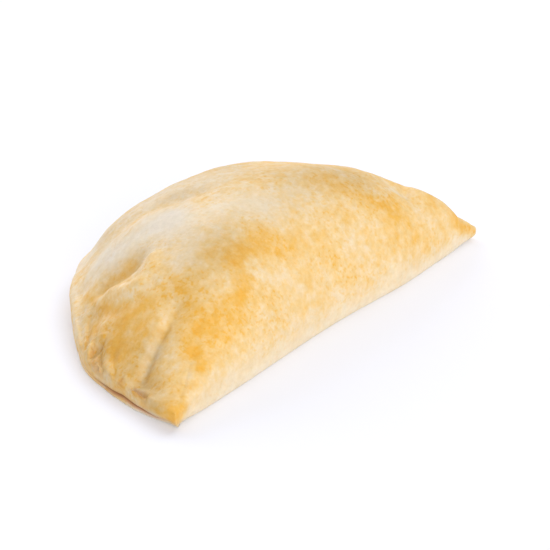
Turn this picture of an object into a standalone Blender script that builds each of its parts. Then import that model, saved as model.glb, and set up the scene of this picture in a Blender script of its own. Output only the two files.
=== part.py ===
"""A baked, folded half-moon of dough, shut round its filling, as one solid.

The straight folded edge lies along X at the front. The sealed rim bows back towards +Y and up is +Z.
Seen from above, the outline is a closed loop of columns. Each column runs from the crown of the dome
out to the outline, down the side, and in under the foot to the flat base.
"""
import bpy
import numpy as np

MM = 0.001

# The half-moon seen from above
HALF_LENGTH = 62.7 * MM
RIM_DEPTH = 67.7 * MM
RIM_POWER = 1.02
RIM_POWER_TO_RIGHT = 0.12
RIM_LEANS = (0.04, -0.08)
FOLD_HOLLOW = 1.1 * MM
FOLD_WAVE = 0.9 * MM
CORNER_ROUNDING = 1 * MM
CORNER_BLEND = 5 * MM

# Where the outline strays from that even curve, in millimetres:
# (distance along the outline from the right corner, anticlockwise, and how far out)
UNEVEN_REACH = 10.9 * MM
UNEVEN_PLACES = (
    (0.0, -0.7),
    (12.6, -0.4),
    (101.0, 0.5),
    (114.0, 0.7),
    (126.5, -0.4),
    (152.0, -1.2),
    (177.0, -1.3),
    (189.5, -1.2),
    (228.0, 0.2),
    (252.0, -0.3),
    (265.0, -0.4),
    (291.0, 0.6),
)

# The dome over the filling
HEIGHT = 29.5 * MM
CROWN_PLACE = 0.42
RIM_RAMP = 41.4 * MM
RIM_RAMP_POWER = 2.26
FOLD_RAMP = 25.0 * MM
FOLD_RAMP_POWER = 1.6
RAMP_BLEND = 1.5
LEFT_FALL = (2.38, 0.45)
RIGHT_FALL = (2.45, 0.35)
FALL_BLEND = 0.25
# The level that the dome rises from, a little way in from the outline
BASE_AT_TIPS = 3 * MM
BASE_RISE = 2.8 * MM
BASE_REACH = 13 * MM

# The two layers pressed together at the rim, and the roll of the folded edge
FLANGE_WIDTH = 2.5 * MM
FLANGE_EASE = 3 * MM
LIP_MIDDLE = 3.9 * MM
LIP_ROUNDING = 1.5 * MM
LIP_RISE = 1.3 * MM
CURL_RISE = 2.1 * MM
CURL_PLACE = -25 * MM
CURL_REACH = 22 * MM
FOLD_WIDEST = 6 * MM
FOLD_AT_CORNER = 3.6 * MM
FOLD_FALL = (2.4, 0.7)
FOLD_RISE = 1.6 * MM
FOLD_ROUNDING = 3.4 * MM
FOLD_FOOT = 1.2 * MM
FOLD_SQUARENESS = 3.0
BEAK_THINNING = 0.42
BEAK_REACH = 9 * MM

# At the two tips the layers curl up a little, off the table
TIP_REACH = 6 * MM
LEFT_TIP_LIFT = 1.6 * MM
RIGHT_TIP_LIFT = 1.2 * MM
TIP_LIFT_REACH = 8 * MM

# The slit between the two layers gapes near the left tip and is pressed shut from there on:
# (distance from the tip in millimetres, how far open, its height in millimetres)
SLIT_PLACES = (
    (0, 0.6, 2.3),
    (5, 1.0, 1.5),
    (14, 1.0, 1.4),
    (17, 1.0, 1.7),
    (21, 0.9, 1.2),
    (26, 0.5, 1.0),
    (30, 0.16, 1.1),
    (45, 0.12, 1.4),
    (100, 0.15, 1.5),
)
# The slit lies no higher than this share of the edge
SLIT_CEILING = 0.55
# The side of each layer, downwards: (distance out in millimetres where the slit gapes, the same
# where it is shut, share of the way up from the layer's foot to its top)
UPPER_LAYER = (
    (-0.04, -0.10, 0.66),
    (-0.09, -0.20, 0.27),
    (-0.80, -0.33, 0.04),
)
LOWER_LAYER = (
    (-0.40, -0.28, 0.92),
    (0.00, -0.22, 0.62),
    (0.02, -0.28, 0.33),
    (-0.25, -0.55, 0.07),
    (-0.70, -1.00, 0.00),
)

# Finger presses along the sealed rim
PRESS_SPACING = 16.5 * MM
PRESS_JITTER = 1.6 * MM
PRESS_WIDTH = 2.6 * MM
PRESS_IN = 0.15 * MM
PRESS_DOWN = 0.6 * MM
PRESS_REACH = 5 * MM
SEED = 7

# The mesh
COLUMNS = 132
INSETS = (0, 0.2, 0.6, 1.3, 2.3, 3.5, 4.9, 6.4, 8.0, 9.8, 11.7)
DOME_RINGS = 19
CROWN_RING = 0.07
LOOP_POINTS = 1200

# Hollows (negative) and swellings (positive) in millimetres, each along a chain of places seen
# from above and fading to its sides: name, places, half width, height
RELIEF_START = 3 * MM
RELIEF = (
    ("roll outside the back crease", ((-16, 56), (-16.5, 56.5)), 9, 1.0),
    ("slack back slope", ((-12.3, 53.4), (-3.6, 53.9)), 8, -1.3),
    ("back hump", ((20.5, 36.2), (21, 36)), 9, 0.4),
    ("back dip", ((24.4, 31.5), (25, 31)), 9, -1.0),
    ("second hump", ((27.6, 26.2), (28, 26)), 9, 0.5),
    ("right notch", ((32, 21), (32.5, 20.5)), 9, -0.9),
    ("right lobe", ((39.7, 17.6), (40, 17)), 9, 1.1),
    ("dip before the beak", ((41.7, 11), (42, 11)), 9, -0.9),
    ("beak", ((50, 6.5), (53, 4)), 9, 2.0),
    ("notch behind the lobe", ((39.5, 13), (41.5, 9.5)), 3.2, -1.15),
    ("swell of the lobe", ((45, 8.4), (50, 5.4)), 3.4, 1.35),
    ("dip before the tip", ((53, 3.2), (54, 0.8)), 2.6, -1.0),
    ("finger hollow", ((-36.6, 41), (-35.2, 37.3), (-32.9, 34.2)), 3.6, -3.0),
    ("lip of the hollow", ((-40.4, 38.5), (-40.8, 31.6), (-38, 28.6), (-33.2, 28.2)), 2.7, 0.7),
    ("ridge below the hollow", ((-40.8, 41), (-43, 31), (-41, 23.5)), 2.4, 0.45),
    ("fold line at the left", ((-40.5, 43.2), (-45.1, 31)), 1.9, -0.8),
    ("left valley", ((-42.9, 15.4), (-49, 14.8), (-53.1, 15.3), (-57, 14.4)), 2.9, -1.35),
    ("rib beside the valley", ((-46, 19.6), (-50, 18.9), (-55.4, 18.6)), 2.4, 0.35),
    ("back crease", ((-7.8, 35.5), (-11.2, 38.8), (-15.6, 45.5), (-20, 48.8), (-25, 51)), 3.4, -0.95),
    ("pinched ear", ((-47.3, 31.8), (-51.2, 32.4)), 2.0, 0.7),
    ("pinched pit", ((-53, 31), (-54.3, 28.4)), 2.0, -1.3),
    ("fold beside the pinch", ((-51.6, 27.6), (-56, 23.8)), 1.9, 0.7),
    ("crest line", ((21.5, 18.9), (1.9, 22.5), (-6.4, 30.7)), 3.2, 0.5),
    ("dimple on the crest", ((7, 20), (12, 19)), 3.6, -0.6),
    ("first back pleat", ((17, 50), (20, 59), (22, 64)), 2.4, -1.1),
    ("second back pleat", ((33, 37), (39, 45), (43, 48)), 2.6, -1.2),
    ("back roll", ((24, 44), (30, 51), (33, 56)), 3.4, 0.8),
    ("right pleat", ((42, 22), (50, 28), (54, 31)), 2.4, -1.0),
)

CRUST_COLOUR = (0.83, 0.62, 0.30)
CRUST_ROUGHNESS = 0.62


def resampled(points, count):
    """The closed loop again, with its points spread evenly; and its length."""
    closed = np.vstack([points, points[:1]])
    steps = np.hypot(*np.diff(closed, axis=0).T)
    along = np.concatenate([[0], np.cumsum(steps)])
    wanted = np.linspace(0, along[-1], count, endpoint=False)
    spread = [np.interp(wanted, along, closed[:, axis]) for axis in (0, 1)]
    return np.stack(spread, axis=1), along[-1]


def eased(points, reach, length):
    """The closed loop with anything much smaller than reach rounded away."""
    waves = 2 * np.pi * np.fft.fftfreq(len(points), d=length / len(points))
    keep = np.exp(-0.5 * (waves * reach) ** 2)[:, None]
    return np.fft.ifft(np.fft.fft(points, axis=0) * keep, axis=0).real


def half_moon():
    """The outline from above, anticlockwise, before the finger presses."""
    turn = np.linspace(0, 2 * np.pi, LOOP_POINTS, endpoint=False)
    across, up = np.cos(turn), np.sin(turn)
    size = np.abs(up)
    power = RIM_POWER + RIM_POWER_TO_RIGHT * across
    lean = 1 + sum(share * across**order for order, share in enumerate(RIM_LEANS, start=1))
    rim = RIM_DEPTH * size**power * lean
    fold = FOLD_HOLLOW * size - 2 * FOLD_WAVE * size * across
    y = np.where(up >= 0, rim, fold)
    points, length = resampled(np.stack([HALF_LENGTH * across, y], axis=1), LOOP_POINTS)
    return eased(points, CORNER_ROUNDING, length)


def press_places(rim_length):
    """Where along the rim the fingers pressed, from the right corner."""
    count = int(rim_length / PRESS_SPACING)
    shift = np.random.default_rng(SEED).uniform(-PRESS_JITTER, PRESS_JITTER, count)
    return (np.arange(count) + 0.5) * rim_length / count + shift


def unit(ways):
    """The directions with their lengths made 1."""
    return ways / np.hypot(*ways.T)[:, None]


class Outline:
    """The loop of columns, with what each column knows about its place."""

    def __init__(self, count):
        self.points, self.length = resampled(half_moon(), count)
        right, left = np.argmax(self.points[:, 0]), np.argmin(self.points[:, 0])
        step = self.length / count
        along = (np.arange(count) - right) % count * step
        self.rim_length = (left - right) % count * step
        self.on_fold = along > self.rim_length
        into_fold = np.minimum(along - self.rim_length, self.length - along)
        into_rim = np.minimum(along, self.rim_length - along)
        depth = np.where(self.on_fold, into_fold, -into_rim)
        self.fold_share = 0.5 + 0.5 * np.tanh(depth / CORNER_BLEND)
        gaps = along[:, None] - press_places(self.rim_length)
        self.press = np.exp(-((gaps / PRESS_WIDTH) ** 2)).sum(axis=1) * ~self.on_fold
        stray = np.zeros(count)
        for place, out in UNEVEN_PLACES:
            stray += out * MM * np.exp(-(((along - place * MM) / UNEVEN_REACH) ** 2))
        self.from_left_tip = np.abs(self.rim_length - along)
        before, after = np.roll(self.points, 1, axis=0), np.roll(self.points, -1, axis=0)
        out = unit((after - before)[:, ::-1] * (1, -1))
        stray -= PRESS_IN * self.press
        self.points = self.points + stray[:, None] * out
        # At the tips each side would cross the other's, so there the way out is from the middle
        near_tips = np.exp(-((depth / TIP_REACH) ** 2))[:, None]
        from_middle = unit(self.points - (0, CROWN_PLACE * RIM_DEPTH))
        self.out = unit((1 - near_tips) * out + near_tips * from_middle)

    def tip_lift(self):
        """How far each column's foot draws in under a lifted tip."""
        lift = np.zeros(len(self.points))
        for tip, amount in ((np.argmin, LEFT_TIP_LIFT), (np.argmax, RIGHT_TIP_LIFT)):
            gap = np.hypot(*(self.points - self.points[tip(self.points[:, 0])]).T)
            lift += amount * np.exp(-((gap / TIP_LIFT_REACH) ** 2))
        return lift


def distance_to_chain(places, chain):
    """How far each place is from a chain of points."""
    starts, runs = chain[:-1], np.diff(chain, axis=0)
    gaps = places[:, None] - starts
    share = np.clip((gaps * runs).sum(axis=2) / (runs**2).sum(axis=1), 0, 1)
    nearest = starts + share[:, :, None] * runs
    return np.hypot(*(places[:, None] - nearest).transpose(2, 0, 1)).min(axis=1)


def ramp_from_rim(distance):
    """0 on the flange, then rising steeply and levelling out towards 1."""
    ease = FLANGE_EASE / RIM_RAMP
    start = -FLANGE_WIDTH / RIM_RAMP
    run = distance / RIM_RAMP + start
    soft = 0.5 * (run + np.hypot(run, ease)) - 0.5 * (start + np.hypot(start, ease))
    return 1 - (1 - np.clip(soft, 0, 1)) ** RIM_RAMP_POWER


def ramp_from_fold(distance):
    """Rising from 0 at the fold and levelling out towards 1."""
    run = np.clip(distance / FOLD_RAMP, 0, 1)
    return 1 - (1 - run) ** FOLD_RAMP_POWER


def dome_share(from_rim, from_fold, x):
    """0 at the outline and 1 at the crown, full and round where the two ramps meet."""
    rim, fold = ramp_from_rim(from_rim), ramp_from_fold(from_fold)
    larger = (rim**RAMP_BLEND + fold**RAMP_BLEND) ** (1 / RAMP_BLEND)
    both = (rim + fold - larger) / (2 - 2 ** (1 / RAMP_BLEND))
    return both * fall_to_corners(x)


def fall_to_corners(x):
    """1 at the middle of the length, falling to 0 at the two corners."""
    share = np.clip(x / HALF_LENGTH, -1, 1)
    to_left = 0.5 - 0.5 * np.tanh(share / FALL_BLEND)
    falls = [(1 - np.abs(share) ** bend) ** power for bend, power in (LEFT_FALL, RIGHT_FALL)]
    return to_left * falls[0] + (1 - to_left) * falls[1]


def relief(places):
    """The height that the named hollows and swellings add at each place."""
    added = np.zeros(len(places))
    for _, chain, half_width, height in RELIEF:
        gap = distance_to_chain(places, np.array(chain) * MM) / (half_width * MM)
        added += height * MM * np.exp(-(gap**2))
    return added


def edge_height(outline):
    """The height of each column's outermost point."""
    share = np.clip(np.abs(outline.points[:, 0]) / HALF_LENGTH, 0, 1)
    bend, power = FOLD_FALL
    rise = (FOLD_WIDEST - FOLD_AT_CORNER) * (1 - share**bend) ** power
    fold = FOLD_AT_CORNER + rise
    curl = CURL_RISE * np.exp(-(((outline.points[:, 0] - CURL_PLACE) / CURL_REACH) ** 2))
    height = outline.fold_share * fold + (1 - outline.fold_share) * (LIP_MIDDLE + curl)
    to_beak = (outline.points[:, 0] - HALF_LENGTH) / BEAK_REACH
    return height * (1 - BEAK_THINNING * np.exp(-(to_beak**2)))


def top_rings(outline):
    """Rings of points over the top, from the outline in to the crown."""
    crown = np.array([0, CROWN_PLACE * RIM_DEPTH])
    reach = np.hypot(*(outline.points - crown).T)
    insets = [np.full(len(reach), inset * MM) for inset in INSETS]
    shares = np.linspace(0, 1 - CROWN_RING, DOME_RINGS + 1)[1:]
    insets += [insets[-1] + share * (reach - insets[-1]) for share in shares]
    insets.append(reach)
    edge = edge_height(outline)
    rim = outline.points[~outline.on_fold]
    fold = outline.points[outline.on_fold]
    fold = fold[np.argsort(fold[:, 0])]
    rings = []
    for inset in insets:
        share = (1 - inset / reach)[:, None]
        places = crown + share * (outline.points - crown)
        from_rim = distance_to_chain(places, rim)
        from_fold = places[:, 1] - np.interp(places[:, 0], fold[:, 0], fold[:, 1])
        from_fold = np.maximum(from_fold, 0)
        round_in = np.clip(1 - from_rim / LIP_ROUNDING, 0, 1)
        roll_in = np.clip(1 - from_fold / FOLD_ROUNDING, 0, 1)
        base = edge + (1 - outline.fold_share) * LIP_RISE * np.sqrt(1 - round_in**2)
        base += outline.fold_share * FOLD_RISE * np.sqrt(1 - roll_in**2)
        # Further in, the dome starts from one level, which is lower towards the two tips
        level = BASE_AT_TIPS + BASE_RISE * (1 - (places[:, 0] / HALF_LENGTH) ** 2)
        base = level + (base - level) * np.exp(-((inset / BASE_REACH) ** 2))
        height = base + (HEIGHT - base) * dome_share(from_rim, from_fold, places[:, 0])
        inside = np.clip(inset / RELIEF_START, 0, 1)
        height += inside * relief(places)
        height -= PRESS_DOWN * outline.press * inside * np.exp(-((from_rim / PRESS_REACH) ** 2))
        rings.append(np.column_stack([places, height]))
    return rings


def side_rings(outline):
    """Rings of points down the side, from below the outline to the base."""
    edge = edge_height(outline)
    fold_share = outline.fold_share
    places = np.array(SLIT_PLACES)
    gape = np.interp(outline.from_left_tip, places[:, 0] * MM, places[:, 1])
    slit = np.interp(outline.from_left_tip, places[:, 0] * MM, places[:, 2] * MM)
    slit = np.minimum(slit, SLIT_CEILING * edge)
    rows = [(wide, shut, slit + share * (edge - slit)) for wide, shut, share in UPPER_LAYER]
    rows += [(wide, shut, share * slit) for wide, shut, share in LOWER_LAYER]
    lift = outline.tip_lift()
    power = 2 / FOLD_SQUARENESS
    rings = []
    for number, (wide, shut, rim_height) in enumerate(rows, start=1):
        down = number / len(rows)
        angle = down * np.pi / 2
        fold_out = -FOLD_FOOT * (1 - max(np.cos(angle), 0) ** power)
        fold_height = edge * (1 - np.sin(angle) ** power)
        rim_out = (gape * wide + (1 - gape) * shut) * MM
        out = (1 - fold_share) * rim_out + fold_share * fold_out - lift * down**2
        height = (1 - fold_share) * rim_height + fold_share * fold_height
        rings.append(np.column_stack([outline.points + out[:, None] * outline.out, height]))
    return rings


def empanada_mesh(count):
    """The closed mesh, centred over the middle of its own box."""
    outline = Outline(count)
    rings = top_rings(outline)
    crown = rings.pop().mean(axis=0)
    rings = rings[::-1] + side_rings(outline)
    points = np.vstack([*rings, crown[None]])
    low, high = points.min(axis=0), points.max(axis=0)
    points[:, :2] -= (low + high)[:2] / 2
    crown_at = len(points) - 1
    faces = []
    for column in range(count):
        after = (column + 1) % count
        faces.append((crown_at, column, after))
        for ring in range(len(rings) - 1):
            inner, outer = ring * count, (ring + 1) * count
            faces.append((inner + column, outer + column, outer + after, inner + after))
    last = (len(rings) - 1) * count
    faces.append(tuple(last + column for column in reversed(range(count))))
    mesh = bpy.data.meshes.new("empanada")
    mesh.from_pydata(points.tolist(), [], faces)
    mesh.shade_smooth()
    return mesh


def crust_material():
    """Dry baked dough, golden and slightly matt."""
    material = bpy.data.materials.new("baked_dough")
    material.use_nodes = True
    shader = material.node_tree.nodes["Principled BSDF"]
    shader.inputs["Base Color"].default_value = (*CRUST_COLOUR, 1)
    shader.inputs["Roughness"].default_value = CRUST_ROUGHNESS
    shader.inputs["Metallic"].default_value = 0
    return material


def main():
    for thing in list(bpy.data.objects):
        bpy.data.objects.remove(thing)
    mesh = empanada_mesh(COLUMNS)
    mesh.materials.append(crust_material())
    empanada = bpy.data.objects.new("empanada", mesh)
    bpy.context.scene.collection.objects.link(empanada)


main()
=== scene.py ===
import math

import bpy
import numpy as np
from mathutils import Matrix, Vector, noise


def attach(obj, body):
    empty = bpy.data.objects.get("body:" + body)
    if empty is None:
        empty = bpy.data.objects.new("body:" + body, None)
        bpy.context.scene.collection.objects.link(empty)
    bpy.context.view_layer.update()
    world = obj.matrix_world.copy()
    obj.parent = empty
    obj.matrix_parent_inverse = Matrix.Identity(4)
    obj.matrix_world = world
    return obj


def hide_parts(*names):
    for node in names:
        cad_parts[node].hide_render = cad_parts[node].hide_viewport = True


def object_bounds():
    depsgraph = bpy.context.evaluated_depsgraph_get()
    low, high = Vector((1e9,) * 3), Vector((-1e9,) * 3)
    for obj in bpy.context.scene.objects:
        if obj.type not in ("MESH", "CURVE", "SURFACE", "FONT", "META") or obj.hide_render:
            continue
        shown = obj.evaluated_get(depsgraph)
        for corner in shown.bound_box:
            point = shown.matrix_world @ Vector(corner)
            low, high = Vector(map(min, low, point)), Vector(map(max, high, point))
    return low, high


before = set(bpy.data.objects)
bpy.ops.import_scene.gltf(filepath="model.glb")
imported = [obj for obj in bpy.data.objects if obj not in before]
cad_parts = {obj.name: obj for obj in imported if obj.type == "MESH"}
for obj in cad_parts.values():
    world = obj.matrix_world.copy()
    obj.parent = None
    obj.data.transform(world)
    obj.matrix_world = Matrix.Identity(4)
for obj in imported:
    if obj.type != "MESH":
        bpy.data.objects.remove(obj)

cadLow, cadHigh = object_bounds()
mm = 0.001
studio = bpy.context.scene
studio.view_settings.view_transform = "Standard"  # white paper stays white, as in a catalogue shot
print("stage 1: frame loaded")


# the turnover's form, in millimetres, measured from the middle of the line that joins its two tips:
# x along the fold, y towards the sealed rim, z up. A reach is the distance over which something fades
turnover = {
    "middle": (0.136, 33.929),  # of the outline, which stands over the frame's origin
    "halfLength": 62.7,
    "rimDepth": 67.7,
    "rimPower": 1.02,           # 1 is half an ellipse, and more is more pointed
    "rimPowerToRight": 0.12,
    "rimLeans": (0.04, -0.08),  # how much deeper it is to the right, and towards both tips
    "foldHollow": 1.1,          # how far the fold runs in midway
    "foldWave": 0.9,            # and how much it sways
    "cornerRounding": 1.0,
    "cornerBlend": 5,           # along the outline, from the rim's edge to the fold's
    "unevenReach": 10.9,
    # (distance along the outline from the right tip, anticlockwise; how far it stands out there)
    "unevenPlaces": (
        (0.0, -0.7), (12.6, -0.4), (101.0, 0.5), (114.0, 0.7), (126.5, 0.3), (139.0, -0.3),
        (152.0, -1.0), (177.0, -1.3), (189.5, -1.2), (228.0, 0.2), (252.0, -0.3), (265.0, -0.4),
        (291.0, 0.6),
    ),
    "height": 29.5,
    "crownPlace": 0.42,         # share of the rim's depth
    "rimRamp": 41.4,            # how far in from the rim the dome is still rising
    "rimRampPower": 2.26,
    "foldRamp": 25.0,           # the same from the fold
    "foldRampPower": 1.6,
    "rampBlend": 1.5,
    "leftFall": (2.38, 0.45),   # how the dome falls to the left tip: bend, power
    "rightFall": (2.45, 0.35),
    "fallBlend": 0.25,
    "baseAtTips": 3.0,          # the level that the dome rises from
    "baseRise": 2.8,            # and how much higher it is midway
    "baseReach": 13,
    "flangeWidth": 2.5,         # the pressed rim, before the dome rises
    "flangeEase": 3,
    "lipMiddle": 3.9,           # height of the rim's outer line
    "lipRounding": 1.5,
    "lipRise": 1.3,
    "curlRise": 2.1,            # the rim curls up at the left
    "curlPlace": -25,
    "curlReach": 22,
    "foldWidest": 6.0,          # height of the fold's outer line midway
    "foldAtCorner": 3.6,
    "foldFall": (2.4, 0.7),
    "foldRise": 1.6,
    "foldRounding": 3.4,
    "beakThinning": 0.46,       # the right tip is a thinner beak
    "beakReach": 9,
    "foldFoot": 1.2,            # how far the fold's foot is set in
    "foldSquareness": 3.0,      # 2 is a round section
    "tipReach": 6,
    "leftTipLift": 3.2,         # how far the tips stand out over what rests on the table
    "rightTipLift": 3.4,
    "tipLiftReach": 8,
    "pressSpacing": 16.5,       # fingertips pressed the rim shut
    "pressJitter": 1.6,
    "pressWidth": 2.6,
    "pressIn": 0.15,
    "pressDown": 0.6,
    "pressReach": 5,
    "reliefStart": 3,           # how far in from the edge the relief has its full height
    "fineReliefStart": 0.5,
    "seed": 7,
}

# how finely the skin is cut
mesh = {
    "columns": 880,
    "loopPoints": 4800,
    "spacingSteps": 6000,
    "denseAt": 178,             # along the outline, where the pinches are
    "denseReach": 34,
    "densest": 1.3,             # how much closer the columns stand there
    "edgeRings": 26,
    "edgeReach": 11.7,
    "edgeBias": 1.6,            # above 1, rings stand closer together towards the edge
    "domeRings": 110,
    "crownRing": 0.006,         # share of the way that the innermost ring keeps from the crown
}

# soft hollows and swellings: places seen from above, half width, height
broadRelief = (
    ("roll outside the back crease", ((-16, 56), (-16.5, 56.5)), 9, 1.0),
    ("slack back slope", ((-12.3, 53.4), (-3.6, 53.9)), 8, -1.3),
    ("back hump", ((20.5, 36.2), (21, 36)), 9, 0.4),
    ("back dip", ((24.4, 31.5), (25, 31)), 9, -1.0),
    ("second hump", ((27.6, 26.2), (28, 26)), 9, 0.5),
    ("right notch", ((32, 21), (32.5, 20.5)), 9, -0.9),
    ("right lobe", ((39.7, 17.6), (40, 17)), 9, 1.1),
    ("dip before the beak", ((41.7, 11), (42, 11)), 9, -0.9),
    ("beak", ((50, 6.5), (53.0, 4.0)), 9, 2.0),
    ("notch behind the lobe", ((39.5, 13), (41.5, 9.5)), 3.2, -1.15),
    ("swell of the lobe", ((45.5, 8.2), (51.2, 5.0)), 3.4, 1.35),
    ("dip before the tip", ((55.4, 3.2), (56.4, 0.8)), 2.0, -0.9),
    ("finger hollow", ((-36.0, 40.4), (-34.9, 37.6), (-33.2, 35.0)), 2.8, -3.0),
    ("lip of the hollow", ((-40.4, 37.0), (-41.4, 31.8), (-39.6, 28.4), (-36.6, 28.0),
        (-33.6, 30.2)), 2.0, 1.3),
    ("furrow outside the lip", ((-42.6, 36.5), (-44.2, 30.5), (-43.0, 26.0), (-39.8, 24.2)), 1.4, -0.5),
    ("ridge below the hollow", ((-40.8, 41.0), (-43.0, 31), (-41.0, 23.5)), 2.4, 0.45),
    ("fold line at the left", ((-40.5, 43.2), (-45.1, 31)), 1.9, -0.8),
    ("left valley", ((-42.9, 15.4), (-49, 14.8), (-53.1, 15.3), (-57.0, 14.4)), 2.9, -1.35),
    ("rib beside the valley", ((-46, 19.6), (-50, 18.9), (-55.4, 18.6)), 2.4, 0.35),
    ("back crease", ((-7.8, 35.5), (-11.2, 38.8), (-15.6, 45.5), (-20, 48.8), (-25, 51.0)), 3.4, -0.95),
    ("pinched ear", ((-47.3, 31.8), (-51.2, 32.4)), 2.0, 0.7),
    ("pinched pit", ((-53, 31), (-54.3, 28.4)), 2.0, -1.3),
    ("fold beside the pinch", ((-51.6, 27.6), (-56, 23.8)), 1.9, 0.7),
    ("crest line", ((21.5, 18.9), (1.9, 22.5), (-6.4, 30.7)), 3.2, 0.5),
    ("dimple on the crest", ((7, 20), (12, 19)), 3.6, -0.6),
    ("first back pleat", ((17, 50), (20, 59), (22, 64)), 2.4, -1.1),
    ("second back pleat", ((33, 37), (39, 45), (43, 48)), 2.6, -1.2),
    ("back roll", ((24, 44), (30, 51), (33, 56)), 3.4, 0.8),
    ("right pleat", ((42, 22), (50, 28), (54, 31)), 2.4, -1.0),
)

# the small relief that only the dressed skin has
fineRelief = (
    ("tear above the lip", ((-58.6, 15.0), (-59.2, 12.8), (-60.1, 10.2)), 0.45, -1.5),
    ("lifted flap", ((-59.6, 14.4), (-60.5, 11.2), (-61.2, 7.6)), 0.6, 0.7),
    ("hook crease", ((-57.2, 19.0), (-57.9, 19.5), (-58.2, 18.1)), 0.4, -0.45),
    ("crease of the valley, high", ((-41.8, 16.4), (-43.6, 15.9)), 1.2, -0.3),
    ("crease of the valley", ((-45.4, 15.7), (-50.4, 15.7), (-55.3, 15.0)), 0.95, -0.55),
    ("ridge of the valley", ((-45.6, 17.6), (-52.0, 17.3), (-56.0, 16.6)), 1.0, 0.35),
    ("foot of the valley", ((-51.5, 15.1), (-54.5, 15.1), (-57.0, 14.6)), 1.4, -0.35),
    ("pleat mark", ((-8.3, 40.2), (-12.5, 37.6), (-16, 35.8)), 0.9, -0.35),
    ("bank beside the pleat mark", ((-11.4, 41.8), (-15.2, 39)), 2.4, -0.3),
    ("crease behind the lobe", ((44.2, 11.8), (42.4, 10.4), (40.4, 8.8)), 1.2, -0.7),
    ("crease before the far tip", ((56.2, 3.8), (55.6, 2.8), (55.0, 1.4)), 1.0, -0.5),
    ("wrinkle along the rim, first", ((-38.8, 44.0), (-42.8, 41.3), (-46.9, 38.4),
        (-51.0, 34.9)), 0.6, 0.4),
    ("crease along the rim, first", ((-40.6, 40.6), (-43.4, 39.2), (-46.8, 37.3),
        (-51.6, 33.7)), 0.55, -0.55),
    ("crease along the rim, second", ((-42.7, 43.8), (-46.4, 40.0), (-49.9, 36.5)), 0.55, -0.5),
    ("wrinkle along the rim, second", ((-36.4, 50.5), (-43.0, 44.8), (-46.6, 40.6)), 0.8, 0.3),
    ("crease below the crescent", ((-43.9, 36.4), (-47.6, 34.6), (-50.2, 32.6)), 0.5, -0.4),
    ("curled edge", ((-52.9, 32.2), (-51.6, 33.0), (-50.5, 32.6), (-50.2, 31.3),
        (-49.9, 30.2)), 0.55, 1.0),
    ("under the curled edge", ((-53.0, 31.0), (-51.6, 31.2), (-51.4, 29.6)), 0.8, -0.9),
    ("smooth fold by the pinch", ((-52.7, 27.1), (-55.6, 24.8), (-56.0, 24.0)), 0.8, 0.6),
    ("groove left of the fold", ((-52.5, 29.0), (-55.2, 26.4)), 0.5, -0.6),
    ("groove right of the fold", ((-52.3, 25.2), (-55.8, 22.3), (-57.4, 21.0)), 0.9, -0.5),
)


def bell(distance, halfWidth):
    # 1 where the distance is nought, and fading to nothing a few half widths away
    return np.exp(-((distance / halfWidth) ** 2))


def resampled(points, count, spacing=None):
    closed = np.vstack([points, points[:1]])
    along = np.concatenate([[0], np.cumsum(np.hypot(*np.diff(closed, axis=0).T))])
    if spacing is None:
        wanted = np.linspace(0, along[-1], count, endpoint=False)
    else:
        wanted = spacing(along[-1], count)
    even = np.stack([np.interp(wanted, along, closed[:, axis]) for axis in (0, 1)], axis=1)
    return even, wanted, along[-1]


def halfMoon(form):
    # the outline from above, anticlockwise, starting at the right corner
    turn = np.linspace(0, 2 * np.pi, mesh["loopPoints"], endpoint=False)
    across, up = np.cos(turn), np.sin(turn)
    size = np.abs(up)
    lean = 1 + sum(share * across**order for order, share in enumerate(form["rimLeans"], start=1))
    rim = form["rimDepth"] * size ** (form["rimPower"] + form["rimPowerToRight"] * across) * lean
    fold = form["foldHollow"] * size - 2 * form["foldWave"] * size * across
    loop = np.stack([form["halfLength"] * across, np.where(up >= 0, rim, fold)], axis=1)
    points, _, length = resampled(loop, mesh["loopPoints"])
    # the corners are rounded by taking out the loop's shortest waves
    waves = 2 * np.pi * np.fft.fftfreq(len(points), d=length / len(points))
    keep = np.exp(-0.5 * (waves * form["cornerRounding"]) ** 2)[:, None]
    return np.fft.ifft(np.fft.fft(points, axis=0) * keep, axis=0).real


def columnSpacing(length, count):
    # columns stand closer together where the dough is pinched
    fine = np.linspace(0, length, mesh["spacingSteps"])
    density = 1 + mesh["densest"] * bell(fine - mesh["denseAt"], mesh["denseReach"])
    total = np.concatenate([[0], np.cumsum((density[1:] + density[:-1]) / 2 * np.diff(fine))])
    return np.interp(np.linspace(0, total[-1], count, endpoint=False), total, fine)


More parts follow.
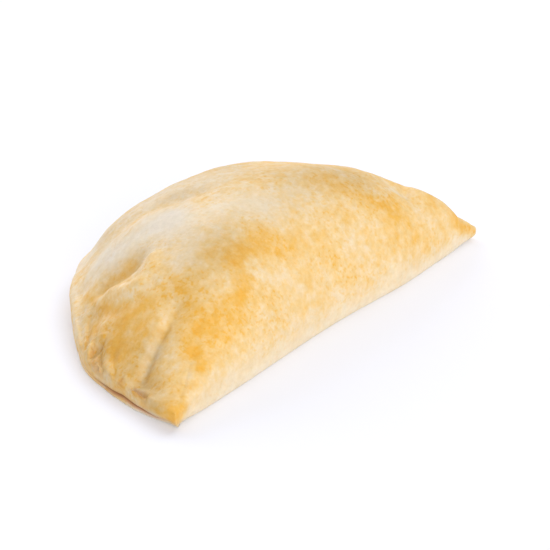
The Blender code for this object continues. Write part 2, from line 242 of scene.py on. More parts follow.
def outlineColumns(form):
    points, along, length = resampled(halfMoon(form), mesh["columns"], columnSpacing)
    right, left = np.argmax(points[:, 0]), np.argmin(points[:, 0])
    along = (along - along[right]) % length
    rimLength = along[left]
    onFold = along > rimLength
    # how far each column is from the nearer tip, less than nought on the rim
    onRimDepth = -np.minimum(along, rimLength - along)
    depth = np.where(onFold, np.minimum(along - rimLength, length - along), onRimDepth)
    foldShare = 0.5 + 0.5 * np.tanh(depth / form["cornerBlend"])

    count = int(rimLength / form["pressSpacing"])
    jitter = form["pressJitter"]
    shift = np.random.default_rng(form["seed"]).uniform(-jitter, jitter, count)
    presses = (np.arange(count) + 0.5) * rimLength / count + shift
    press = bell(along[:, None] - presses, form["pressWidth"]).sum(axis=1) * ~onFold

    stray = sum(swell * bell(along - place, form["unevenReach"]) for place, swell in form["unevenPlaces"])
    out = (np.roll(points, -1, axis=0) - np.roll(points, 1, axis=0))[:, ::-1] * (1, -1)
    out /= np.hypot(*out.T)[:, None]
    points = points + (stray - form["pressIn"] * press)[:, None] * out
    # at the tips every ring is drawn towards the middle instead, so that the sides don't cross there
    nearTips = bell(depth, form["tipReach"])[:, None]
    fromMiddle = points - (0, form["crownPlace"] * form["rimDepth"])
    out = (1 - nearTips) * out + nearTips * fromMiddle / np.hypot(*fromMiddle.T)[:, None]
    out /= np.hypot(*out.T)[:, None]
    return {"points": points, "fromTip": np.abs(rimLength - along), "onFold": onFold,
            "foldShare": foldShare, "press": press, "out": out}


def gapToChain(places, chain):
    # how far each place is from a chain of points, in as many dimensions as the points have
    chain = np.asarray(chain, float)
    if len(chain) == 1:
        return np.linalg.norm(places - chain[0], axis=1)
    starts, runs = chain[:-1], np.diff(chain, axis=0)
    gaps = places[:, None] - starts
    share = np.clip((gaps * runs).sum(axis=2) / (runs**2).sum(axis=1), 0, 1)
    return np.linalg.norm(places[:, None] - starts - share[:, :, None] * runs, axis=2).min(axis=1)


def domeShare(form, fromRim, fromFold, x):
    # 0 at the outline and 1 at the crown, full and round where the rim's and the fold's ramps meet
    ease, start = form["flangeEase"] / form["rimRamp"], -form["flangeWidth"] / form["rimRamp"]
    run = fromRim / form["rimRamp"] + start
    soft = 0.5 * (run + np.hypot(run, ease)) - 0.5 * (start + np.hypot(start, ease))
    rim = 1 - (1 - np.clip(soft, 0, 1)) ** form["rimRampPower"]
    fold = 1 - (1 - np.clip(fromFold / form["foldRamp"], 0, 1)) ** form["foldRampPower"]
    blend = form["rampBlend"]
    both = (rim + fold - (rim**blend + fold**blend) ** (1 / blend)) / (2 - 2 ** (1 / blend))
    share = np.clip(x / form["halfLength"], -1, 1)
    toLeft = 0.5 - 0.5 * np.tanh(share / form["fallBlend"])
    falls = (form["leftFall"], form["rightFall"])
    left, right = [(1 - np.abs(share) ** bend) ** power for bend, power in falls]
    return both * (toLeft * left + (1 - toLeft) * right)


def reliefAt(places, table):
    added = np.zeros(len(places))
    for _, chain, halfWidth, height in table:
        added += height * bell(gapToChain(places, chain), halfWidth)
    return added


def edgeHeights(form, outline):
    x = outline["points"][:, 0]
    share = np.clip(np.abs(x) / form["halfLength"], 0, 1)
    bend, power = form["foldFall"]
    corner, widest = form["foldAtCorner"], form["foldWidest"]
    fold = corner + (widest - corner) * (1 - share**bend) ** power
    curl = form["curlRise"] * bell(x - form["curlPlace"], form["curlReach"])
    height = outline["foldShare"] * fold + (1 - outline["foldShare"]) * (form["lipMiddle"] + curl)
    return height * (1 - form["beakThinning"] * bell(x - form["halfLength"], form["beakReach"]))


def topRings(form, outline):
    # rings from the outline to the crown, each as (x, y, height) for every column
    points, foldShare = outline["points"], outline["foldShare"]
    crown = np.array([0, form["crownPlace"] * form["rimDepth"]])
    reach = np.hypot(*(points - crown).T)
    insets = mesh["edgeReach"] * np.linspace(0, 1, mesh["edgeRings"]) ** mesh["edgeBias"]
    insets = [np.full(len(reach), inset) for inset in insets]
    shares = np.linspace(0, 1 - mesh["crownRing"], mesh["domeRings"] + 1)[1:]
    insets += [insets[-1] + share * (reach - insets[-1]) for share in shares]
    insets.append(reach)
    edge = edgeHeights(form, outline)
    rim, fold = points[~outline["onFold"]], points[outline["onFold"]]
    fold = fold[np.argsort(fold[:, 0])]
    rings = []
    for inset in insets:
        places = crown + (1 - inset / reach)[:, None] * (points - crown)
        fromRim = gapToChain(places, rim)
        fromFold = np.maximum(places[:, 1] - np.interp(places[:, 0], fold[:, 0], fold[:, 1]), 0)
        lip = np.clip(1 - fromRim / form["lipRounding"], 0, 1)
        roll = np.clip(1 - fromFold / form["foldRounding"], 0, 1)
        base = edge + (1 - foldShare) * form["lipRise"] * np.sqrt(1 - lip**2)
        base += foldShare * form["foldRise"] * np.sqrt(1 - roll**2)
        fade = bell(inset, form["baseReach"])  # inwards, rim and fold start from one level
        level = form["baseAtTips"] + form["baseRise"] * (1 - (places[:, 0] / form["halfLength"]) ** 2)
        base = level + (base - level) * fade
        height = base + (form["height"] - base) * domeShare(form, fromRim, fromFold, places[:, 0])
        inside = np.clip(inset / form["reliefStart"], 0, 1)
        height += inside * reliefAt(places, broadRelief)
        height += np.clip(inset / form["fineReliefStart"], 0, 1) * reliefAt(places, fineRelief)
        height -= form["pressDown"] * outline["press"] * inside * bell(fromRim, form["pressReach"])
        rings.append(np.column_stack([places, height]))
    return rings, edge


# the side of the sealed rim below its outer line. The two layers part near the left tip, where the
# slit between them is open, and are pressed into one edge from there on
seam = {
    # (distance from the tip along the outline, how far the slit is open, its height)
    "places": ((0, 0.6, 2.3), (5, 1.0, 1.5), (9, 1.0, 1.3), (14, 1.0, 1.4), (17, 1.0, 1.7),
               (21, 0.9, 1.2), (26, 0.5, 1.0), (30, 0.16, 1.1), (45, 0.12, 1.4), (100, 0.15, 1.5)),
    "ceiling": 0.55,            # the slit keeps below this share of the edge's height
    # (distance out where open, distance out where closed, share of the way up from the slit)
    "upper": ((-0.02, -0.03, 0.88), (-0.04, -0.08, 0.64), (-0.06, -0.14, 0.42), (-0.09, -0.20, 0.25),
              (-0.16, -0.26, 0.14), (-0.42, -0.31, 0.08), (-0.8, -0.33, 0.03)),
    # (distance out where open, distance out where closed, share of the slit's height)
    "lower": ((-0.8, -0.32, 0.97), (-0.40, -0.28, 0.92), (-0.14, -0.24, 0.82), (-0.02, -0.22, 0.68),
              (0.04, -0.24, 0.48), (0.02, -0.28, 0.33), (-0.08, -0.38, 0.18), (-0.25, -0.55, 0.07),
              (-0.45, -0.75, 0.02), (-0.7, -1.0, 0.0)),
}


def tipLift(form, points):
    # the tips curl up a little, so they stand out over the part that rests on the table
    x = points[:, 0]
    tips = ((x.argmin(), form["leftTipLift"]), (x.argmax(), form["rightTipLift"]))
    reach = form["tipLiftReach"]
    return sum(amount * bell(np.hypot(*(points - points[tip]).T), reach) for tip, amount in tips)


def sideRings(form, outline, edge):
    # rings from the outline down to the table
    points, foldShare, fromTip = outline["points"], outline["foldShare"], outline["fromTip"]
    places = np.array(seam["places"], float)
    opened = np.interp(fromTip, places[:, 0], places[:, 1])
    slit = np.minimum(np.interp(fromTip, places[:, 0], places[:, 2]), seam["ceiling"] * edge)
    rows = []
    for wide, closed, share in seam["upper"]:
        rows.append((opened * wide + (1 - opened) * closed, slit + share * (edge - slit)))
    for wide, closed, share in seam["lower"]:
        rows.append((opened * wide + (1 - opened) * closed, slit * share))
    lift = tipLift(form, points)
    bend = 2 / form["foldSquareness"]
    rings = []
    for number, (step, rimHeight) in enumerate(rows, start=1):
        angle = number / len(rows) * np.pi / 2
        foldOut = -form["foldFoot"] * (1 - max(np.cos(angle), 0) ** bend)
        foldHeight = edge * (1 - np.sin(angle) ** bend)
        move = (1 - foldShare) * step + foldShare * foldOut - lift * (number / len(rows)) ** 2
        height = (1 - foldShare) * rimHeight + foldShare * foldHeight
        rings.append(np.column_stack([points + move[:, None] * outline["out"], height]))
    return rings, slit, opened


# the crust's own unevenness
unevenness = {
    # (size of a bump, how far it stands out, a place in the noise)
    "bumps": ((13.0, 0.45, 11.0), (5.5, 0.16, 27.0), (2.1, 0.07, 43.0), (0.95, 0.035, 61.0)),
    # where the dough was pinched, it is crinkled: (places, half width, size of a crinkle, how far
    # it stands out)
    "crinkles": (
        (((-53.0, 31.0, 6.0), (-55.0, 27.6, 5.0), (-56.6, 24.4, 4.0)), 2.2, 0.9, 0.55),
        (((-44.0, 42.5, 8.0), (-51.0, 34.0, 7.0), (-56.5, 23.0, 6.0), (-58.0, 14.0, 5.0)), 4.5, 1.9, 0.26),
    ),
    "faintest": 0.02,           # crinkles under this share are left out
    "flatBelow": 0.6,           # the underside stays flat
    "flatFade": 2.5,
}


def gridNormals(grid):
    # grid: rings from the crown outwards, columns anticlockwise
    acrossRings = np.gradient(grid, axis=0)
    alongRing = np.roll(grid, -1, axis=1) - np.roll(grid, 1, axis=1)
    normal = np.cross(acrossRings, alongRing)
    return normal / np.maximum(np.linalg.norm(normal, axis=2, keepdims=True), 1e-9)


def roughened(grid, look):
    flat = grid.reshape(-1, 3)
    heights = np.zeros(len(flat))
    for size, amount, shift in look["bumps"]:
        waves = [noise.noise((x / size + shift, y / size, z / size)) for x, y, z in flat]
        heights += amount * np.array(waves)
    for chain, halfWidth, size, amount in look["crinkles"]:
        share = bell(gapToChain(flat, chain), halfWidth)
        near = np.flatnonzero(share > look["faintest"])
        waves = [noise.noise((x / size, y / size, z / size)) for x, y, z in flat[near]]
        heights[near] += amount * share[near] * np.array(waves)
    heights = heights.reshape(grid.shape[:2])
    low = np.clip((grid[:, :, 2] - look["flatBelow"]) / look["flatFade"], 0, 1)
    return grid + (heights * low)[:, :, None] * gridNormals(grid)


# how browned the skin is: 0 is pale dough and 1 is toasted. Distances are in millimetres
baking = {
    "rest": 0.6,                # where no zone is
    # the fold's foot is paler: partly dough that browned less, partly painted light from the white table
    "footPaleAndLit": 0.5,           # the foot of the fold stayed pale
    "footReach": 5.5,
    "frontEnds": 30,            # this far from the tips' line the front has turned into the back
    "frontBlend": 8,
    # how far the slit's painted shade reaches
    "slitReach": 0.5,           # above and below the slit
}

# what the oven did to the skin: name, points that the zone runs along, half width, how much more or
# less browned it is there
bakedZones = (
    ("in the finger hollow", ((-36, 41, 13.5), (-34.5, 37.5, 16.5), (-32.5, 34.5, 19)), 2.3, 0.4),
    ("far end of the hollow", ((-31.5, 33.5, 19), (-30.5, 32, 21)), 2, -0.35),
    ("orange crease", ((-37, 46.5, 9.5), (-40, 40.5, 10), (-43.5, 34, 12), (-44.5, 29, 14)), 1.3, 0.45),
    ("field below the crescent", ((-45.5, 27.5, 14), (-44, 23, 16.5), (-41.5, 20, 18.5),
        (-38.5, 19, 21)), 3.2, 0.25),
    ("left end", ((-47, 33.5, 9.5), (-49, 27, 11), (-48.5, 21, 13)), 5, 0.3),
    ("left end, lower", ((-52.5, 23.5, 8.5), (-56, 18, 6.5), (-58, 18.5, 4.5)), 4, 0.35),
    ("lip by the slit", ((-56.4, 23.8, 1.1), (-58.2, 16.6, 1.8), (-61.2, 8.1, 3.2),
        (-62, 2.7, 3.4)), 1, 0.5),
    ("near tip", ((-62, 2, 4.5), (-61.5, 1, 3)), 2.2, 0.45),
    ("near tip, above", ((-58, 3, 6), (-59.5, 1, 4.5)), 3, 0.3),
    ("beside the near corner", ((-60, 6.5, 5.5), (-57, 11.5, 6)), 3, 0.35),
    ("near front", ((-47.5, 7.5, 12), (-48, 7, 11.5)), 2.6, 0.4),
    ("near front, low", ((-49.5, 3, 9.5), (-46.5, 3, 10)), 2.4, 0.25),
    ("near front, high", ((-43.5, 5.5, 13), (-41.5, 6, 14), (-44, 8, 14.5)), 3, 0.2),
    ("near front, right", ((-39.5, 3.5, 12), (-38.5, 3.5, 12.5)), 1.8, 0.2),
    ("middle front", ((-41.5, 10, 16.5), (-39.5, 7, 16), (-35, 6, 16)), 4.5, 0.25),
    ("below the band", ((-27.5, 8.5, 20), (-29.5, 7, 18)), 2.4, 0.35),
    ("upper band, left", ((-37.5, 15, 20.5), (-32.5, 15.5, 23), (-27.5, 16, 24.5)), 6, 0.2),
    ("upper band, middle", ((-24, 12, 23), (-17, 13, 24), (-14.5, 13, 24)), 3.6, 0.3),
    ("upper band, right", ((-16.5, 10, 21.5), (-12.5, 9, 21), (-9.5, 10, 22.5)), 3.2, 0.2),
    ("upper band, end", ((-8.5, 8.5, 21), (-4.5, 9, 21.5)), 3.2, 0.05),
    ("crest of the right face", ((17, 19, 28.5), (18.5, 17, 27.5), (19, 15, 26.5)), 2.8, 0.1),
    ("band down the right face", ((18.5, 14, 26), (19.5, 11, 24), (22, 9.5, 22.5)), 2.8, 0.05),
    ("band below the lobe", ((24.5, 8, 21.5), (27.5, 6.5, 20), (31, 6, 18.5)), 3.4, 0.3),
    ("right face", ((25.5, 3.5, 17.5), (30, 2.5, 15), (35, 1, 12)), 3, 0.2),
    ("right face, low", ((19, 1.5, 12.5), (22.5, 0.5, 12)), 2, 0.15),
    ("ring on the right face", ((-2.5, 6, 18), (0, 6, 18.5), (2.5, 5.5, 18), (1.5, 4, 16)), 2.4, 0.15),
    ("lobe edge", ((40.5, 6, 16.5), (44, 4, 14.5), (48, 2, 12)), 2, 0.15),
    ("far tip", ((52, 0, 8), (57.5, -0.5, 4.5), (60, -0.5, 3)), 2.6, 0.5),
    ("far end of the fold", ((32, -1, 7.5), (44, -1, 6)), 4, 0.15),
    ("low on the face", ((-33, 1.5, 9), (-28.5, 1.5, 9.5), (-24.5, 1.5, 9.5)), 2.6, -0.05),
    ("crown, third", ((-2.5, 31.5, 29.5), (-3.5, 29.5, 29.5)), 2.4, -0.1),
    ("pale slope", ((-29.5, 48, 15), (-29.5, 42.5, 19), (-26, 39, 22.5), (-21, 35.5, 26)), 6.5, -0.5),
    ("pale slope, inner", ((-22.5, 33, 26), (-28, 24, 25.5), (-33, 20.5, 24)), 5, -0.3),
    ("pale crown", ((-17, 25.5, 28.5), (-10, 23.5, 29), (-4.5, 20, 28.5)), 5.5, -0.3),
    ("pale crown, right", ((-5.5, 18, 27.5), (4, 18.5, 27.5), (10.5, 18, 27.5)), 4.5, -0.1),
    ("outer crescent", ((-40.5, 39.5, 10.5), (-41.5, 34.5, 13.5), (-42.5, 29, 16.5),
        (-41.5, 25.5, 18.5), (-38.5, 24, 21)), 1.3, -0.2),
    ("by the near rim", ((-33.5, 53, 7.5), (-40, 48, 6.5), (-46, 41, 6)), 2.2, -0.2),
    ("rib by the valley", ((-41, 17.5, 18.5), (-46, 18, 15), (-49, 17.5, 12.5),
        (-53.5, 17.5, 8)), 2.2, -0.15),
    ("face, upper", ((-20, 9, 21), (-17.5, 7, 18.5), (-14.5, 5.5, 16.5)), 4.5, -0.15),
    ("face, right", ((10, 3.5, 15.5), (13.5, 1.5, 12)), 4.5, -0.1),
    ("fold behind the lobe", ((41, 9.5, 18), (38, 10, 19.5)), 2, -0.35),
    ("back slope", ((-19.5, 57, 12.5), (-16.5, 53, 19), (-8.5, 49.5, 23), (-2, 43, 27),
        (6, 37, 28.5)), 5, -0.2),
    ("back slope, middle", ((-13, 46.5, 23), (-6.5, 39.5, 27.5), (-3, 35.5, 28.5)), 4, -0.2),
    ("top of the near end", ((-22.5, 61, 7), (-21, 58, 10.5)), 4, -0.3),
    ("along the foot of the face", ((-39, 1, 7), (-25, 0.5, 7), (-9, 0.5, 7), (6.5, 0, 6.5)), 3, -0.05),
    ("upper lip", ((-55.5, 26.8, 0.8), (-57, 22.7, 1), (-58.6, 16.3, 1.6),
        (-59.1, 12.6, 1.5)), 0.8, 0.05),
    ("hook crease", ((-57.7, 19.1, 4.9), (-58.2, 19, 4.4), (-58.6, 17.6, 4.1)), 0.8, 0.35),
    ("tear above the lip", ((-59.5, 14.1, 4.4), (-60.5, 9.8, 5.2)), 0.8, 0.8),
    ("groove by the pinch", ((-52.4, 25, 7.6), (-57.7, 20.6, 3.4)), 1, 0.25),
    ("pinch", ((-53.5, 30.5, 5.5), (-55.5, 27, 4.5)), 1.8, 0.15),
    ("rim edge behind", ((-12, 66.5, 5), (12, 66.5, 5), (36, 56, 5), (52, 38, 5),
        (60.5, 18, 4)), 3, 0.25),
    ("blistered patch behind", ((14, 56, 13), (27, 49, 14.5)), 6, 0.2),
    ("blistered patch at the far side", ((41, 31, 15), (48, 20, 12)), 5, 0.2),
    ("pale fold behind", ((26, 41, 20), (36, 45, 11)), 4.5, -0.25),
    ("pale patch on the crown", ((12, 38, 28), (22, 30, 27.5)), 6.5, 0.05),
    ("pale foot before the far tip", ((40.5, 2.5, 12), (43.5, 0, 6)), 2.8, -0.15),
)

# painted shade: places where the skin is made darker but no browner, over the crest, the top slopes and
# round
# the left end and the pinched rim: name, points, half width, how much darker
paintedShadeZones = (
    ("crest", ((-26.5, 27.5, 25.5), (-27.5, 17, 25), (-11, 19, 28), (9, 18.5, 28),
        (25.5, 15.5, 25.5)), 8, 0.1),
    ("behind the crest", ((-8, 41, 26.5), (2.5, 34.5, 29), (14, 22.5, 29), (28.5, 14.5, 24.5)), 7, 0.1),
    ("near rim", ((-49.5, 36, 6), (-55, 28.5, 5), (-57.5, 21.5, 4)), 3.5, 0.1),
    ("beside the tear", ((-58.5, 11, 6), (-61, 7, 4.5)), 3.4, 0.2),
    ("below the valley", ((-57, 15, 4.5), (-55, 17.5, 6)), 3, 0.1),
    ("rim at the near end", ((-44, 38, 9.5), (-42, 42, 8.5)), 3.5, 0.15),
    ("top of the far slope", ((-18, 54.5, 15.5), (-8, 52, 21.5), (2, 47, 25), (10, 42, 27)), 6, 0.15),
    ("top of the near slope", ((-21.5, 49.5, 19), (-16, 44, 23.5), (-10, 39.5, 26),
        (-5.5, 33.5, 28.5)), 5, 0.05),
    ("left of the valley", ((-47.5, 16.5, 12), (-50.5, 16.5, 9.5)), 2.4, 0.1),
    ("above the pinch", ((-53.5, 26, 7.5), (-52, 27.5, 8)), 2.4, 0.1),
    ("grey slope", ((-30, 46, 16.5), (-26, 40, 22), (-20, 36, 26)), 6.5, 0.1),
    ("above the shoulder", ((-39, 15.5, 20), (-32, 17, 23.5), (-23, 17, 26)), 6, 0.1),
    ("left end", ((-48.5, 29, 10.5), (-52, 20.5, 9.5), (-53.5, 14, 7.5)), 6, 0.1),
)

# small spots that caught the heat first, and their radius
emberSpots = (
    ((-48, 7, 11.5), 1.3), ((-49.5, 3.5, 9.5), 1), ((-42, 6, 14), 0.9), ((-44, 8.5, 14.5), 0.9),
    ((-35, 6, 16), 0.9), ((-29.5, 7.5, 18), 1.1), ((-39, 3.5, 12.5), 1), ((-23, 12, 23), 1.1),
    ((-16.5, 13, 24.5), 1), ((-13, 9, 21), 1), ((-1.5, 6, 18), 0.8), ((19.5, 14.5, 26), 1.2),
    ((19, 11.5, 24.5), 1.2), ((27, 7, 20), 1.1), ((25, 3, 16.5), 0.9), ((33, 2.5, 14), 1),
    ((20.5, 1, 12.5), 1), ((-1.5, 3, 14), 0.7),
)

# painted shade in the cracks and under the overhangs: places, half width, how dark
paintedCrackShade = (
    (((-58.7, 14.9, 4.6), (-59.4, 12.6, 4.6), (-60.2, 10.2, 4.9)), 0.5, 0.8),
    (((-57.4, 19.1, 5.1), (-58.0, 19.3, 4.4), (-58.2, 18.1, 4.3)), 0.4, 0.5),
    (((-53.2, 31.2, 5.4), (-51.8, 31.4, 6.4), (-51.4, 29.6, 6.9)), 0.7, 0.45),
    (((-54.4, 29.2, 4.6), (-55.6, 26.6, 3.8)), 1.2, 0.35),
)


def zoneSum(places, zones):
    total = np.zeros(len(places))
    for _, chain, halfWidth, change in zones:
        total += change * bell(gapToChain(places, chain), halfWidth)
    return total


def bakingAndPaintedShade(places, slitOpen, slitHeight):
    # for each place: how browned and how scorched the baking left it, how much painted shade darkens it,
    # and how much painted shade the slit, the cracks and the overhangs get
    front = np.clip((baking["frontEnds"] - places[:, 1]) / baking["frontBlend"], 0, 1)
    # paler foot of the fold: partly less browning, partly painted light from the table below
    foot = baking["footPaleAndLit"] * front * bell(places[:, 2], baking["footReach"])
    baked = np.clip(baking["rest"] + zoneSum(places, bakedZones) - foot, 0, 1)
    # painted shade: the crest, the top slopes and the left end made darker
    paintedShade = np.clip(zoneSum(places, paintedShadeZones), 0, 1)
    ember = np.zeros(len(places))
    for spot, radius in emberSpots:
        ember = np.maximum(ember, bell(gapToChain(places, [spot]), radius))
    # painted shade in the open slit, then in the cracks and under the overhangs
    slit = slitOpen * bell(places[:, 2] - slitHeight, baking["slitReach"])
    for chain, halfWidth, darkness in paintedCrackShade:
        slit = np.maximum(slit, darkness * bell(gapToChain(places, chain), halfWidth))
    return {"baked": baked, "paintedShade": paintedShade, "ember": ember, "slit": slit}


def crustFaces(ringCount, columns, crownPoint):
    inner = np.arange(ringCount - 1)[:, None] * columns
    column = np.arange(columns)[None]
    after = (column + 1) % columns
    corners = (inner + column, inner + columns + column, inner + columns + after, inner + after)
    faces = np.stack(corners, axis=2).reshape(-1, 4).tolist()
    faces += [(crownPoint, c, (c + 1) % columns) for c in range(columns)]
    last = (ringCount - 1) * columns
    faces.append(tuple(last + c for c in reversed(range(columns))))
    return faces


def withinSolid(points):
    # the bumps must not carry the skin past the solid's box
    solid = np.array([cadLow, cadHigh]) / mm
    skin = np.array([points.min(axis=0), points.max(axis=0)])
    return points * min(1, *(solid[:, :2] / skin[:, :2]).ravel(), solid[1, 2] / skin[1, 2])


def buildCrust():
    outline = outlineColumns(turnover)
    tops, edge = topRings(turnover, outline)
    crown = tops.pop().mean(axis=0)
    sides, slitHeight, opened = sideRings(turnover, outline, edge)
    grid = np.array(tops[::-1] + sides)
    ringCount, columns = grid.shape[:2]
    points = np.vstack([roughened(grid, unevenness).reshape(-1, 3), crown[None]])
    points[:, :2] -= turnover["middle"]
    points[:, 2] = np.maximum(points[:, 2], 0)
    data = bpy.data.meshes.new("crust")
    faces = crustFaces(ringCount, columns, len(points) - 1)
    data.from_pydata((withinSolid(points) * mm).tolist(), [], faces)
    data.validate()
    data.shade_smooth()

    # the material reads the browning and the painted shade from the points. The slit's painted shade is on
    # the rim's side only
    onSide = np.repeat(np.arange(ringCount) >= len(tops), columns)
    slitOpen = np.tile((1 - outline["foldShare"]) * opened, ringCount) * onSide
    marks = bakingAndPaintedShade(grid.reshape(-1, 3), slitOpen, np.tile(slitHeight, ringCount))
    for name, values in marks.items():
        layer = data.attributes.new(name, "FLOAT", "POINT")
        layer.data.foreach_set("value", np.append(values, values[0]).astype(np.float32))
    piece = bpy.data.objects.new("empanada_crust", data)
    studio.collection.objects.link(piece)
    return piece


crust = buildCrust()
print("stage 2: crust built,", len(crust.data.vertices), "points")


def linear(hexColour):
    # sRGB hex to the linear colour that the shader takes
    channels = [int(hexColour[i:i + 2], 16) / 255 for i in (1, 3, 5)]
    return tuple(c / 12.92 if c <= 0.04045 else ((c + 0.055) / 1.055) ** 2.4 for c in channels) + (1,)


def addNode(tree, kind, settings=None, inputs=None):
    node = tree.nodes.new(kind)
    for name, value in (settings or {}).items():
        setattr(node, name, value)
    for name, value in (inputs or {}).items():
        if isinstance(value, bpy.types.NodeSocket):
            tree.links.new(value, node.inputs[name])
        else:
            node.inputs[name].default_value = value
    return node


# wheat dough, rolled thin and oven-baked: dry and nearly matt, cream where it stayed cool or lay
# folded, straw to gold where the heat reached it, with small freckles where blisters browned first.
# Painted shade darkens the crest, the top slopes, the left end, the slit and the cracks, and painted
# light makes the fold's foot paler. Sizes are in millimetres, and amounts in steps of browning
bakedDough = {
    # (how browned, its colour): cream, parchment, straw, gold, honey, toasted and scorched
    "browning": ((0.0, "#E6D8BF"), (0.2, "#E5D1AD"), (0.4, "#E4C99A"), (0.6, "#E4C182"),
                 (0.8, "#E3B769"), (1.0, "#E2AD4C"), (1.3, "#E3A639")),
    # painted shade for the slit, the cracks and the overhangs
    "paintedSlitShade": "#B9855A",
    # noise: (size, detail, roughness)
    "mottleNoise": (6.0, 3.0, 0.55),  # wide, soft clouds
    "blotchNoise": (2.2, 2.0, 0.55),  # low blisters
    "clusterNoise": (9.0, 1.0, 0.5),  # where freckles gather
    "freckleNoise": (0.95, 1.0, 0.5),
    "grainNoise": (0.42, 2.0, 0.6),   # the dough's own grain
    "filmNoise": (1.5, 4.0, 0.7),     # flour left on the skin
    "mottle": 0.34,
    "blotch": 0.42,
    "freckle": 0.31,
    "grain": 0.11,
    "ember": 0.22,
    "film": 0.08,               # how much of the light the floury film takes
    # (from, to, least): the noise counts as the least up to the first, and as 1 from the second on
    "clusterRange": (0.38, 0.62, 0.3),
    "freckleRange": (0.53, 0.70, 0.0),
    "warmRange": (0.15, 0.6, 0.45),  # the same for the browning: pale dough is less uneven
    "filmRange": (0.35, 0.7),   # the film starts at the first and is full at the second
    "freckleMean": 0.10,        # about the share of the skin that freckles cover
    "poreSize": 0.8,
    "bumpStrength": 0.5,
    "bumpHeight": 0.10,
    "roughness": 0.62,
    "ior": 1.45,
    "specular": 0.35,
    "subsurface": 0.10,         # light goes a little way into the crumb and comes back warmer
    "subsurfaceRadius": (1.0, 0.45, 0.18),
    "subsurfaceDepth": 1.6,
}


def bakedDoughMaterial(look):
    material = bpy.data.materials.new("baked_wheat_dough")
    material.use_nodes = True
    tree = material.node_tree
    shader = tree.nodes["Principled BSDF"]
    place = addNode(tree, "ShaderNodeTexCoord").outputs["Object"]
    perMetre = 1 / mm
    noises = {}
    for name in ("mottle", "blotch", "cluster", "freckle", "grain", "film"):
        size, detail, rough = look[name + "Noise"]
        noises[name] = addNode(tree, "ShaderNodeTexNoise", None, {
            "Vector": place, "Scale": perMetre / size, "Detail": detail, "Roughness": rough,
        }).outputs["Fac"]
    baked, paintedShade, ember, slit = [
        addNode(tree, "ShaderNodeAttribute", {"attribute_name": name}).outputs["Fac"]
        for name in ("baked", "paintedShade", "ember", "slit")]

    # freckles gather in clusters, and mostly where the crust has begun to brown
    shares = {}
    for name, value in (("cluster", noises["cluster"]), ("freckle", noises["freckle"]), ("warm", baked)):
        start, end, least = look[name + "Range"]
        shares[name] = addNode(tree, "ShaderNodeMapRange", None, {
            "Value": value, "From Min": start, "From Max": end, "To Min": least, "To Max": 1.0,
        }).outputs["Result"]
    freckles = addNode(tree, "ShaderNodeMath", {"operation": "MULTIPLY"}, {
        0: shares["cluster"], 1: shares["freckle"]}).outputs[0]

    # every unevenness swings about nought, so that the zones keep their level
    uneven = addNode(tree, "ShaderNodeMath", {"operation": "MULTIPLY_ADD"}, {
        0: freckles, 1: look["freckle"], 2: -look["freckleMean"] * look["freckle"]}).outputs[0]
    for name in ("mottle", "blotch", "grain"):
        swing = addNode(tree, "ShaderNodeMath", {"operation": "MULTIPLY_ADD"}, {
            0: noises[name], 1: 2 * look[name], 2: -look[name]}).outputs[0]
        uneven = addNode(tree, "ShaderNodeMath", {"operation": "ADD"}, {0: uneven, 1: swing}).outputs[0]
    heat = addNode(tree, "ShaderNodeMath", {"operation": "MULTIPLY_ADD"}, {
        0: uneven, 1: shares["warm"], 2: baked}).outputs[0]
    heat = addNode(tree, "ShaderNodeMath", {"operation": "MULTIPLY_ADD"}, {
        0: ember, 1: look["ember"], 2: heat}).outputs[0]
    mostBrowned = look["browning"][-1][0]
    ramp = addNode(tree, "ShaderNodeValToRGB", None, {"Fac": addNode(
        tree, "ShaderNodeMath", {"operation": "DIVIDE"}, {0: heat, 1: mostBrowned}).outputs[0]})
    stops = ramp.color_ramp.elements  # a new ramp has two
    for number, (browned, colour) in enumerate(look["browning"]):
        stop = stops[number] if number < 2 else stops.new(1.0)
        stop.position = browned / mostBrowned
        stop.color = linear(colour)

    # painted shade darkens the crest, the top slopes and the left end, and a floury film darkens it
    # unevenly as well
    start, end = look["filmRange"]
    film = addNode(tree, "ShaderNodeMapRange", None, {
        "Value": noises["film"], "From Min": start, "From Max": end, "To Min": 0.0, "To Max": look["film"],
    }).outputs["Result"]
    shadeAndFilm = addNode(tree, "ShaderNodeMath", {"operation": "ADD"}, {0: paintedShade, 1: film}).outputs[0]
    shadeAndFilmDarkened = addNode(tree, "ShaderNodeMix", {"data_type": "RGBA", "blend_type": "MULTIPLY"}, {
        "Factor": shadeAndFilm, 6: ramp.outputs["Color"], 7: (0, 0, 0, 1)}).outputs[2]
    # painted shade in the slit, the cracks and under the overhangs
    skin = addNode(tree, "ShaderNodeMix", {"data_type": "RGBA"}, {
        "Factor": slit, 6: shadeAndFilmDarkened, 7: linear(look["paintedSlitShade"])}).outputs[2]
    tree.links.new(skin, shader.inputs["Base Color"])

    pores = addNode(tree, "ShaderNodeTexVoronoi", {"feature": "F1"}, {
        "Vector": place, "Scale": perMetre / look["poreSize"], "Randomness": 1.0}).outputs["Distance"]
    height = addNode(tree, "ShaderNodeMath", {"operation": "ADD"}, {
        0: noises["grain"], 1: pores}).outputs[0]
    bump = addNode(tree, "ShaderNodeBump", None, {
        "Height": height, "Strength": look["bumpStrength"], "Distance": look["bumpHeight"] * mm})
    tree.links.new(bump.outputs["Normal"], shader.inputs["Normal"])
    shader.inputs["Roughness"].default_value = look["roughness"]
    shader.inputs["IOR"].default_value = look["ior"]
    shader.inputs["Specular IOR Level"].default_value = look["specular"]
    shader.inputs["Subsurface Weight"].default_value = look["subsurface"]
    shader.inputs["Subsurface Radius"].default_value = look["subsurfaceRadius"]
    shader.inputs["Subsurface Scale"].default_value = look["subsurfaceDepth"] * mm
    return material


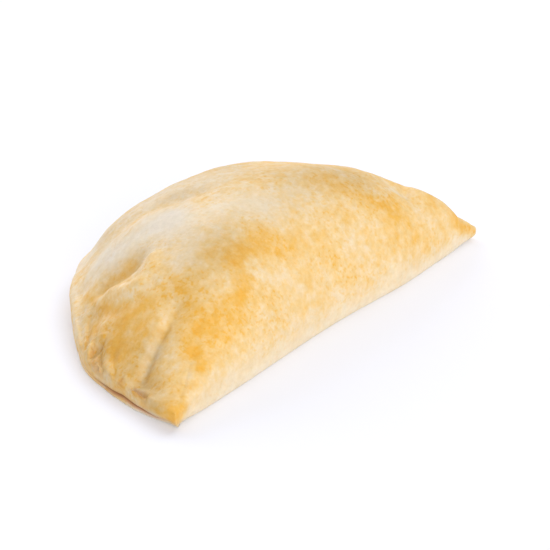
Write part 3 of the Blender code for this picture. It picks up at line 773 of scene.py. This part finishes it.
crust.data.materials.append(bakedDoughMaterial(bakedDough))
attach(crust, "root")
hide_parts("empanada")
print("stage 3: crust dressed")


def towards(azimuth, elevation):
    # a direction: degrees round from straight in front of the fold, and degrees up
    a, e = math.radians(azimuth), math.radians(elevation)
    return Vector((math.sin(a) * math.cos(e), -math.cos(a) * math.cos(e), math.sin(e)))


# white seamless paper, uncoated and matt, with no shine at all. It is lit a little from below, as on
# a light table, so that it stays white close to the crust
paper = {"colour": "#D9D9DC", "width": 9000, "roughness": 0.9, "glow": 0.19}


def layPaper(look):
    half = look["width"] / 2 * mm
    corners = [(-half, -half, 0), (half, -half, 0), (half, half, 0), (-half, half, 0)]
    data = bpy.data.meshes.new("paper")
    data.from_pydata(corners, [], [(0, 1, 2, 3)])
    sheet = bpy.data.objects.new("floor", data)
    studio.collection.objects.link(sheet)
    material = bpy.data.materials.new("uncoated_white_paper")
    material.use_nodes = True
    shader = material.node_tree.nodes["Principled BSDF"]
    shader.inputs["Base Color"].default_value = linear(look["colour"])
    shader.inputs["Roughness"].default_value = look["roughness"]
    shader.inputs["Specular IOR Level"].default_value = 0.0
    shader.inputs["Emission Color"].default_value = (1, 1, 1, 1)
    shader.inputs["Emission Strength"].default_value = look["glow"]
    data.materials.append(material)
    return sheet


layPaper(paper)

# even white light from all round, and three large soft lamps: in front, at the side and behind
studioLight = {
    "roomColour": "#F0F3FF",
    "roomStrength": 0.38,
    # (name, colour, strength, degrees round from straight in front of the fold, degrees up)
    "lamps": (
        ("front_softbox", "#FCFBFD", 2.68, -36, 20),
        ("side_softbox", "#FAFBFF", 1.45, 90, 55),
        ("back_softbox", "#F3F5FF", 2.35, 160, 20),
    ),
    "lampSize": 60,             # degrees across
}


def lightStudio(look):
    world = bpy.data.worlds.new("white_room")
    studio.world = world
    world.use_nodes = True
    background = world.node_tree.nodes["Background"]
    background.inputs["Color"].default_value = linear(look["roomColour"])
    background.inputs["Strength"].default_value = look["roomStrength"]
    for name, colour, strength, around, up in look["lamps"]:
        lamp = bpy.data.lights.new(name, "SUN")
        lamp.energy = strength
        lamp.color = linear(colour)[:3]
        lamp.angle = math.radians(look["lampSize"])
        holder = bpy.data.objects.new(name, lamp)
        holder.location = towards(around, up)
        holder.rotation_euler = towards(around, up).to_track_quat("Z", "Y").to_euler()
        studio.collection.objects.link(holder)


lightStudio(studioLight)

# a long lens from the near left corner, looking a little down; lengths in millimetres
lens = {
    "target": (13.455, -4.561, 0),
    "azimuth": -54.64,
    "elevation": 25,
    "distance": 450,
    "pixelsPerMm": 4.0693,      # at the target
    "imageSize": 550,
    "sensor": 36,
    "clipStart": 10,
}


def placeCamera(look):
    data = bpy.data.cameras.new("camera")
    camera = bpy.data.objects.new("camera", data)
    back = towards(look["azimuth"], look["elevation"])
    camera.location = (Vector(look["target"]) + back * look["distance"]) * mm
    camera.rotation_euler = back.to_track_quat("Z", "Y").to_euler()
    data.sensor_width = look["sensor"]
    data.lens = look["pixelsPerMm"] * look["distance"] * look["sensor"] / look["imageSize"]
    data.clip_start = look["clipStart"] * mm
    studio.collection.objects.link(camera)
    studio.camera = camera


placeCamera(lens)
print("stage 4: paper, light and camera set")
